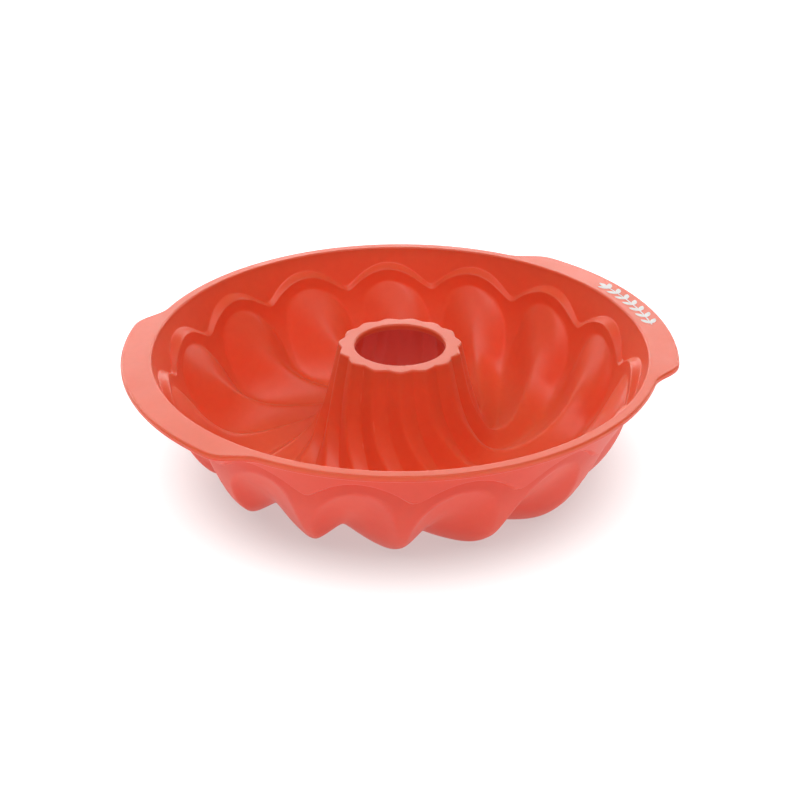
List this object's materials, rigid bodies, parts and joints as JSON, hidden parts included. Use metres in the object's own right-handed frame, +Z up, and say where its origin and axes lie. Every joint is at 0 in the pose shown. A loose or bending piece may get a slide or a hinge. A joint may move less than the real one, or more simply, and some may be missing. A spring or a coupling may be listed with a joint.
{
  "type": "bundt pan",
  "caption": "Round swirled bundt pan moulded in soft silicone, with an open centre tube and two flat grip tabs on the rim.",
  "frame": {"origin": "on the resting plane, on the axis of the centre tube", "axes": "+X through the grip tab that carries the printed sprig, +Z up out of the open top along the tube's axis"},
  "size_m": [0.2688, 0.2508, 0.062],
  "materials": {
    "silicone": "satin red-orange baking silicone, slightly translucent",
    "print": "matt off-white printed film"
  },
  "bodies": {
    "root": {"pan_body": "silicone", "grip_mark": "print"}
  },
  "joints": []
}
